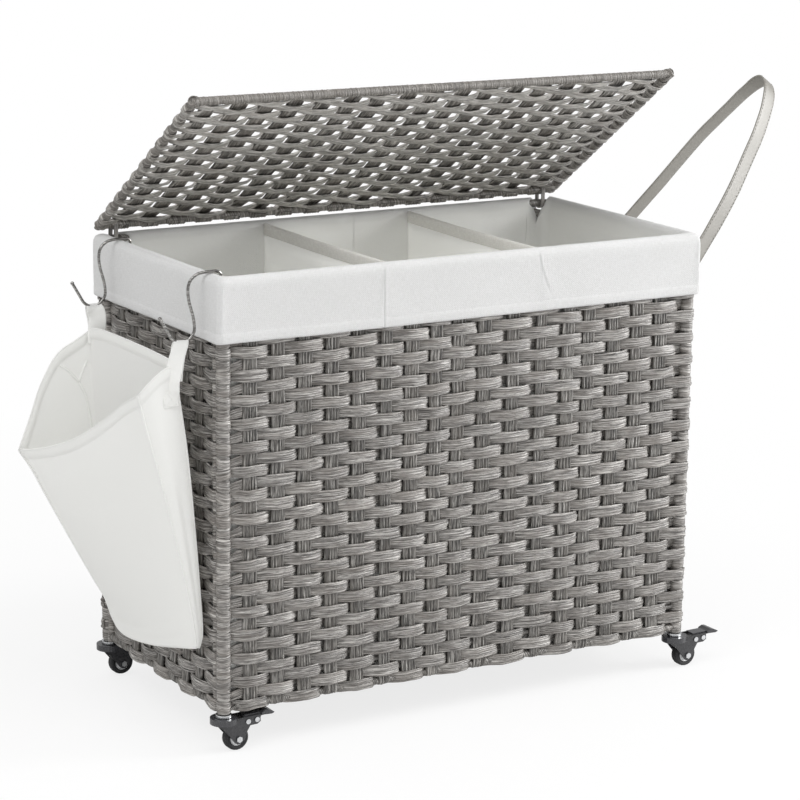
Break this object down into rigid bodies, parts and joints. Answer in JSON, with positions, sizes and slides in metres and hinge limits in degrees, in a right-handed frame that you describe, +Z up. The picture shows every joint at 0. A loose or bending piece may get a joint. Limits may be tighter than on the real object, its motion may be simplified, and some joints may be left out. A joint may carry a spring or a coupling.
{
  "type": "laundry cart",
  "caption": "Rolling rectangular laundry hamper of woven grey rattan with hinged lid, sectioned white cloth liner, strap handle, hooked side bag and swivel casters.",
  "frame": {"origin": "centre of the underside of the basket floor panel", "axes": "+X to the side with the strap handle, +Y to the hinge side (the back), +Z up; the wheels touch the floor at z = -0.046 m"},
  "size_m": [0.9991, 0.3432, 0.7508],
  "materials": {
    "rattan": "ribbed grey polyethylene rattan strands, streaked lighter and darker, satin",
    "frame_wire": "grey powder-coated steel wire",
    "liner_cloth": "white plain-weave polyester-cotton cloth, sewn double at the hems",
    "bag_cloth": "white plain-weave cloth with bound mouth",
    "strap_leather": "smooth grey imitation leather, edge stitched",
    "hook_steel": "bright zinc-plated wire",
    "caster_steel": "bright plated steel",
    "caster_black": "glossy black moulding",
    "wheel_grey": "light grey wheel core",
    "tyre": "black rubber tread",
    "insert_plastic": "black nylon sleeve"
  },
  "bodies": {
    "basket": {"front_frame": "frame_wire", "back_frame": "frame_wire", "left_frame": "frame_wire", "right_frame": "frame_wire", "base_frame": "frame_wire", "front_weave": "rattan", "back_weave": "rattan", "left_weave": "rattan", "right_weave": "rattan", "base_panel": "rattan", "liner": "liner_cloth", "hinge_loop_left": "rattan", "hinge_loop_right": "rattan", "handle_anchor_front": "strap_leather", "handle_anchor_rear": "strap_leather", "handle_rivet_front": "hook_steel", "handle_rivet_rear": "hook_steel", "caster_insert_fl": "insert_plastic", "caster_insert_fr": "insert_plastic", "caster_insert_bl": "insert_plastic", "caster_insert_br": "insert_plastic", "caster_stem_fl": "caster_steel", "caster_stem_fr": "caster_steel", "caster_stem_bl": "caster_steel", "caster_stem_br": "caster_steel"},
    "lid": {"lid_frame": "frame_wire", "lid_weave": "rattan"},
    "bag_hooks": {"hook_front": "hook_steel", "hook_rear": "hook_steel"},
    "side_bag": {"side_bag": "bag_cloth", "side_bag_tab_front": "bag_cloth", "side_bag_tab_rear": "bag_cloth"},
    "handle": {"handle_strap": "strap_leather"},
    "caster_fl": {"caster_fork_fl": "caster_black", "caster_axle_fl": "caster_steel", "brake_pin_inner_fl": "caster_steel", "brake_pin_outer_fl": "caster_steel"},
    "wheel_fl": {"wheel_hub_fl": "wheel_grey", "wheel_tyre_fl": "tyre"},
    "brake_fl": {"brake_pedal_fl": "caster_black"},
    "caster_fr": {"caster_fork_fr": "caster_black", "caster_axle_fr": "caster_steel", "brake_pin_inner_fr": "caster_steel", "brake_pin_outer_fr": "caster_steel"},
    "wheel_fr": {"wheel_hub_fr": "wheel_grey", "wheel_tyre_fr": "tyre"},
    "brake_fr": {"brake_pedal_fr": "caster_black"},
    "caster_bl": {"caster_fork_bl": "caster_black", "caster_axle_bl": "caster_steel"},
    "wheel_bl": {"wheel_hub_bl": "wheel_grey", "wheel_tyre_bl": "tyre"},
    "caster_br": {"caster_fork_br": "caster_black", "caster_axle_br": "caster_steel"},
    "wheel_br": {"wheel_hub_br": "wheel_grey", "wheel_tyre_br": "tyre"}
  },
  "joints": [
    {"name": "lid_hinge", "type": "hinge", "parent": "basket", "child": "lid", "pos_m": [0, 0.158, 0.523], "axis": [-1, 0, 0], "range_deg": [-35, 160]},
    {"name": "hooks_slide", "type": "slide", "parent": "basket", "child": "bag_hooks", "axis": [0, 1, 0], "range_m": [-0.005, 0.03]},
    {"name": "bag_swing", "type": "hinge", "parent": "bag_hooks", "child": "side_bag", "pos_m": [-0.3615, 0, 0.453], "axis": [0, 1, 0], "range_deg": [0, 18]},
    {"name": "handle_swing", "type": "hinge", "parent": "basket", "child": "handle", "pos_m": [0.342, 0, 0.42], "axis": [0, 1, 0], "range_deg": [-28, 135]},
    {"name": "swivel_fl", "type": "hinge", "parent": "basket", "child": "caster_fl", "pos_m": [-0.3206, -0.1556, -0.008], "axis": [0, 0, 1], "continuous": true},
    {"name": "roll_fl", "type": "hinge", "parent": "caster_fl", "child": "wheel_fl", "pos_m": [-0.3056, -0.1556, -0.031], "axis": [0, 1, 0], "continuous": true},
    {"name": "brake_fl_press", "type": "hinge", "parent": "caster_fl", "child": "brake_fl", "pos_m": [-0.282, -0.1556, -0.0106], "axis": [0, 1, 0], "range_deg": [0, 10]},
    {"name": "swivel_fr", "type": "hinge", "parent": "basket", "child": "caster_fr", "pos_m": [0.3206, -0.1556, -0.008], "axis": [0, 0, 1], "continuous": true},
    {"name": "roll_fr", "type": "hinge", "parent": "caster_fr", "child": "wheel_fr", "pos_m": [0.3356, -0.1556, -0.031], "axis": [0, 1, 0], "continuous": true},
    {"name": "brake_fr_press", "type": "hinge", "parent": "caster_fr", "child": "brake_fr", "pos_m": [0.3592, -0.1556, -0.0106], "axis": [0, 1, 0], "range_deg": [0, 10]},
    {"name": "swivel_bl", "type": "hinge", "parent": "basket", "child": "caster_bl", "pos_m": [-0.3206, 0.1556, -0.008], "axis": [0, 0, 1], "continuous": true},
    {"name": "roll_bl", "type": "hinge", "parent": "caster_bl", "child": "wheel_bl", "pos_m": [-0.3056, 0.1556, -0.031], "axis": [0, 1, 0], "continuous": true},
    {"name": "swivel_br", "type": "hinge", "parent": "basket", "child": "caster_br", "pos_m": [0.3206, 0.1556, -0.008], "axis": [0, 0, 1], "continuous": true},
    {"name": "roll_br", "type": "hinge", "parent": "caster_br", "child": "wheel_br", "pos_m": [0.3356, 0.1556, -0.031], "axis": [0, 1, 0], "continuous": true}
  ]
}
